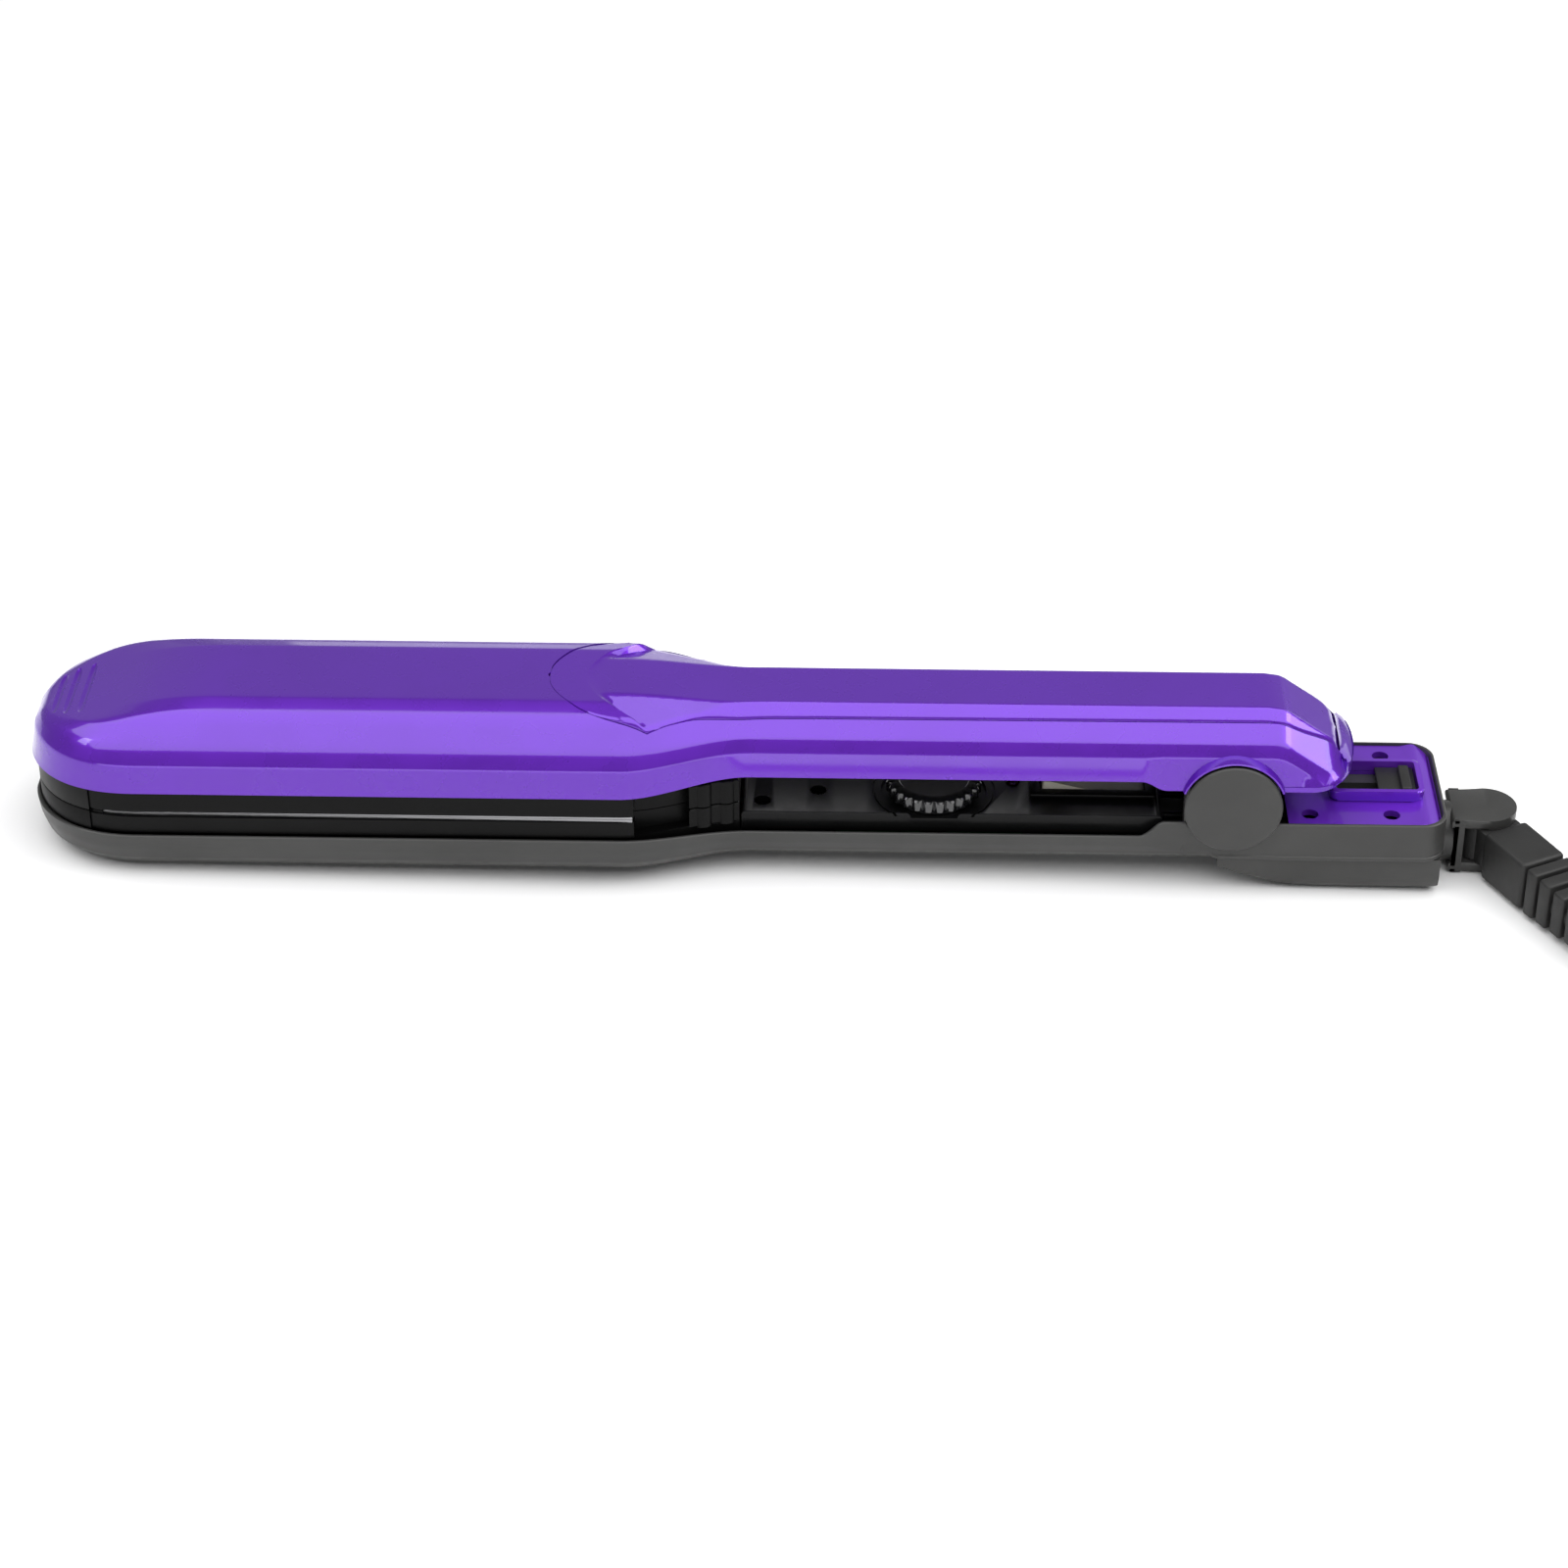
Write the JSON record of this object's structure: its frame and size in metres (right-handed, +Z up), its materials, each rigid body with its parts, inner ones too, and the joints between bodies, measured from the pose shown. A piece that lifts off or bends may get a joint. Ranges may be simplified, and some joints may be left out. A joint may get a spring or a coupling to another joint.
{
  "type": "hair crimper",
  "caption": "Handheld hair crimper with two hinged arms, ridged heating plates, a temperature dial, a power rocker, a closing lock and a swivel mains cord with its plug.",
  "frame": {"origin": "the point on the table under the middle of the crimper's bounding box, measured without the cord, its guard and its plug, with the crimper lying on its lower arm", "axes": "+X runs from the nose towards the cord, +Y is to the left seen from the cord end looking at the nose's far side, and +Z is up from the table; the arms lie tipped by 1.25 degrees, nose low"},
  "size_m": [0.5025, 0.0829, 0.0386],
  "materials": {
    "purple_gloss": "glossy purple moulding with a faint metallic fleck",
    "inlay_purple": "glossy purple inlay, a little lighter than the shell",
    "charcoal_plastic": "satin charcoal moulding with a fine spark texture",
    "guard_rubber": "flexible charcoal strain relief, satin",
    "black_plastic": "black heat-resistant plastic, satin",
    "plate_metal": "plain metal, crimping ridges, lightly brushed",
    "heater_ceramic": "white ceramic heater",
    "steel": "bright steel",
    "lead_insulation": "heat-resistant silicone insulation",
    "board_green": "printed circuit board",
    "clear_knob": "clear knurled acrylic",
    "rocker_grey": "warm grey, satin",
    "lens_red": "clear red lens",
    "bush_white": "white acetal bush",
    "cord_rubber": "satin black cord sheath",
    "plug_black": "satin black moulded plug",
    "pin_metal": "nickel-plated brass pins"
  },
  "bodies": {
    "lower_arm": {"lower_shell": "charcoal_plastic", "lower_inner_panel": "black_plastic", "lower_panel_screws": "steel", "lower_plate_holder": "black_plastic", "lower_plate": "plate_metal", "lower_heater": "heater_ceramic", "lower_heater_clamp": "steel", "lower_leads": "lead_insulation", "control_board": "board_green", "dial_pot": "black_plastic", "switch_body": "black_plastic", "indicator_lens": "lens_red", "power_leads": "lead_insulation", "tail_tray": "purple_gloss", "tail_tray_screws": "steel", "lock_track": "black_plastic", "rear_cover": "charcoal_plastic", "rear_cover_screws": "steel", "hinge_pin": "steel", "front_hinge_cap": "charcoal_plastic", "back_hinge_cap": "charcoal_plastic", "hinge_washers": "steel", "opening_spring": "steel", "swivel_bush": "bush_white"},
    "upper_arm": {"upper_shell": "purple_gloss", "upper_inlay": "inlay_purple", "upper_inner_cover": "black_plastic", "upper_cover_screws": "steel", "upper_plate_holder": "black_plastic", "upper_plate": "plate_metal", "upper_heater": "heater_ceramic", "upper_heater_clamp": "steel", "upper_leads": "lead_insulation"},
    "dial": {"dial_shaft": "steel", "dial_knob": "clear_knob"},
    "rocker": {"power_rocker": "rocker_grey"},
    "lock": {"lock_slider": "black_plastic"},
    "swivel": {"swivel_neck": "charcoal_plastic", "knuckle_pin": "steel"},
    "cord_lead": {"cord_guard": "guard_rubber", "cord": "cord_rubber", "cord_hank": "cord_rubber", "cord_tie": "black_plastic", "cord_end": "cord_rubber", "plug_body": "plug_black", "plug_pins": "pin_metal"}
  },
  "joints": [
    {"name": "arm_hinge", "type": "hinge", "parent": "lower_arm", "child": "upper_arm", "pos_m": [0.09115, 0, 0.02054], "axis": [0, 1, 0], "range_deg": [0, 15]},
    {"name": "dial_turn", "type": "hinge", "parent": "lower_arm", "child": "dial", "pos_m": [0.03174, -0.0034, 0.01584], "axis": [-0.0218, 0, 0.9998], "range_deg": [0, 270]},
    {"name": "rocker_tilt", "type": "hinge", "parent": "lower_arm", "child": "rocker", "pos_m": [0.06389, 0, 0.01404], "axis": [0, 1, 0], "range_deg": [-14, 0]},
    {"name": "lock_slide", "type": "slide", "parent": "lower_arm", "child": "lock", "axis": [0.9998, 0, 0.0218], "range_m": [-0.008, 0]},
    {"name": "swivel_spin", "type": "hinge", "parent": "lower_arm", "child": "swivel", "pos_m": [0.14467, 0, 0.0065], "axis": [0.9998, 0, 0.0218], "continuous": true},
    {"name": "guard_swing", "type": "hinge", "parent": "swivel", "child": "cord_lead", "pos_m": [0.14467, 0, 0.0065], "axis": [-0.0218, 0, 0.9998], "range_deg": [-28, 90]}
  ]
}
